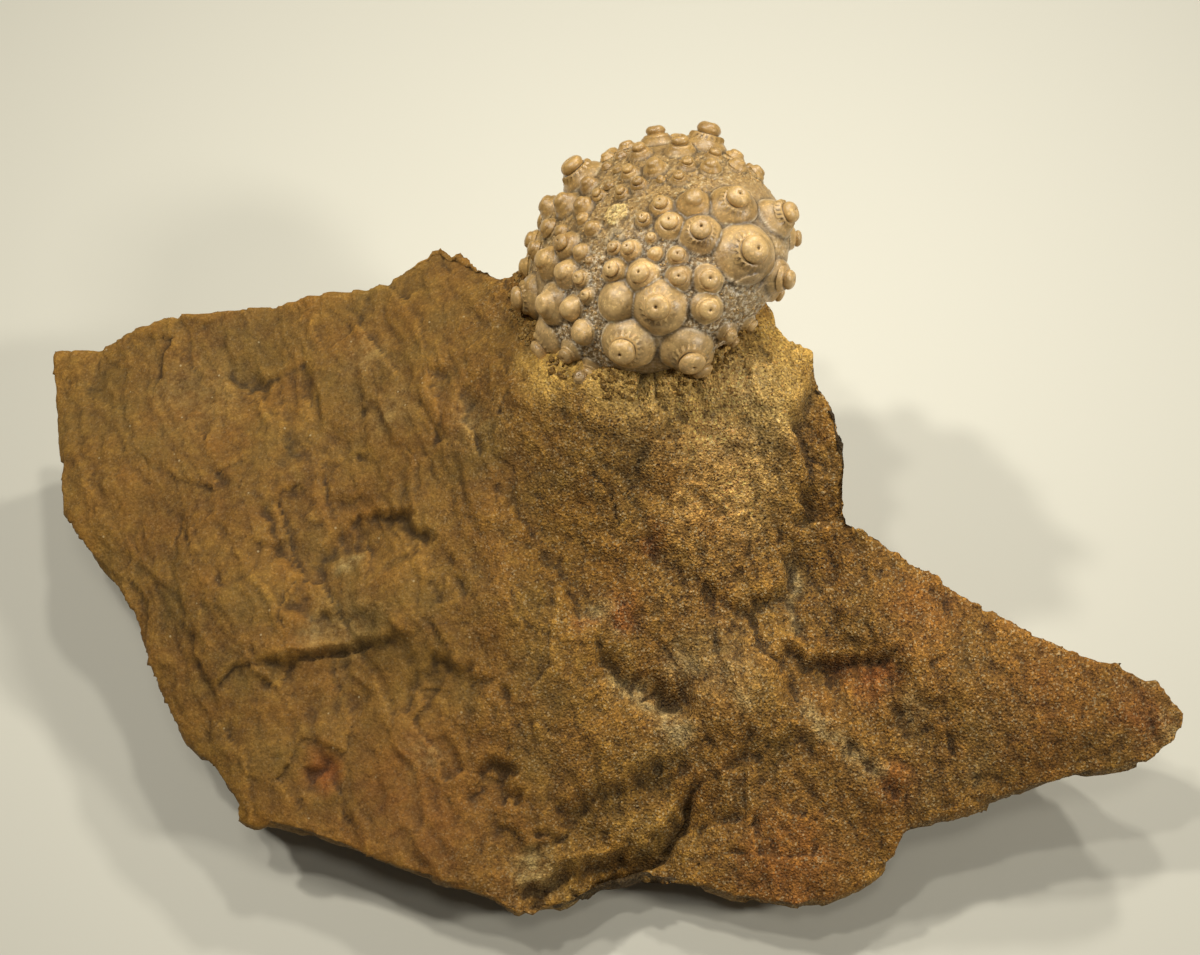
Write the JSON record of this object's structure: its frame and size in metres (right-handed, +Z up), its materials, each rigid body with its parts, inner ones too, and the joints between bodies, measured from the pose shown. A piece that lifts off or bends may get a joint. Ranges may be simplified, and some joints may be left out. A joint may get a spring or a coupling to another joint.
{
  "type": "fossil sea urchin",
  "caption": "Knobbly fossil sea urchin shell seated at the back edge of a loose slab of brown sandy limestone that tapers to a wing.",
  "frame": {"origin": "middle of the specimen's box, on the surface it rests on", "axes": "+X along the slab towards its tapering wing, +Y away from its lobed front towards the urchin, +Z up"},
  "size_m": [0.165, 0.1038, 0.0648],
  "materials": {
    "sandy_limestone": "rough broken sandy limestone, ochre brown with rust and dark specks",
    "fossil_calcite": "fossil calcite, pinkish beige and slightly waxy on the knobs, crusty grey and white between them"
  },
  "bodies": {
    "root": {"matrix": "sandy_limestone", "sea_urchin": "fossil_calcite"}
  },
  "joints": []
}
